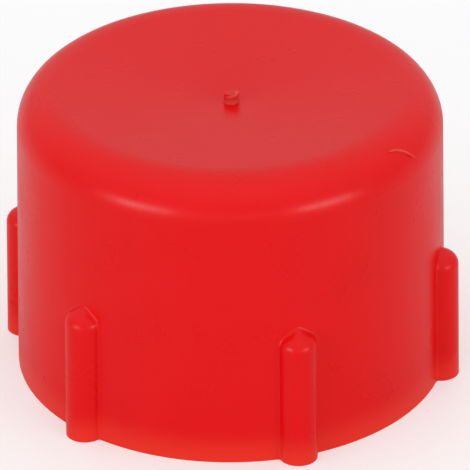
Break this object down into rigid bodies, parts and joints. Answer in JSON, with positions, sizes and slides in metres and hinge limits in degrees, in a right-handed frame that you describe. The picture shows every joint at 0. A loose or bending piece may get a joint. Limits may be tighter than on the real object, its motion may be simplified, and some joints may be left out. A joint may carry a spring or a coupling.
{
  "type": "threaded protection cap",
  "caption": "Moulded screw-on cap that closes a threaded pipe end and protects its thread, with an internal pipe thread, a dished top and grip ribs round the mouth.",
  "frame": {"origin": "middle of the mouth, in the plane of the rim that the cap stands on", "axes": "+Z along the cap's axis, from the open mouth towards the closed top; one grip rib points along +X"},
  "size_m": [0.0406, 0.0374, 0.0262],
  "materials": {
    "red_polyethylene": "satin, moulded against a finely spark-eroded cavity"
  },
  "bodies": {
    "root": {"threaded_cap": "red_polyethylene"}
  },
  "joints": []
}
